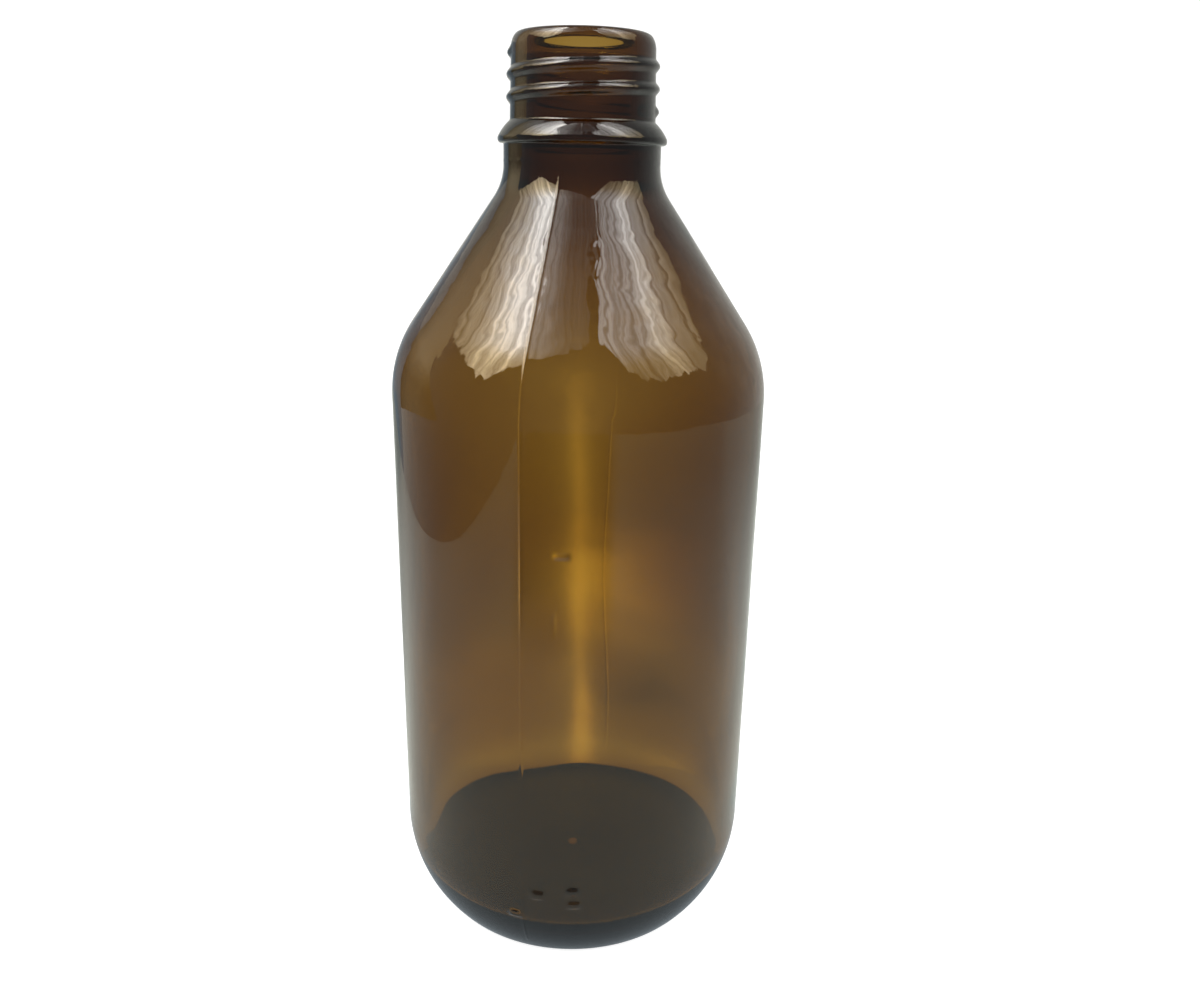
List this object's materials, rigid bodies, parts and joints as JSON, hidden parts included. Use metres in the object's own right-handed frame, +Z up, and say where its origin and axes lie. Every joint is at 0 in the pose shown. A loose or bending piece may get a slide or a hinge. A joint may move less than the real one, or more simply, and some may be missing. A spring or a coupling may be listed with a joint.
{
  "type": "glass bottle",
  "caption": "Round amber glass bottle with a straight body, conical shoulder, transfer bead and open screw neck; empty, uncapped and unlabelled.",
  "frame": {"origin": "centre of the standing ring, on the surface that the bottle stands on", "axes": "+Z up along the bottle's axis towards the mouth; -Y is the side with the first of the two neck seams, and the thread starts near +X"},
  "size_m": [0.076, 0.076, 0.1824],
  "materials": {
    "amber_glass": "clear amber-brown moulded glass, fire-polished gloss, with faint mould seams"
  },
  "bodies": {
    "root": {"glass_bottle": "amber_glass"}
  },
  "joints": []
}
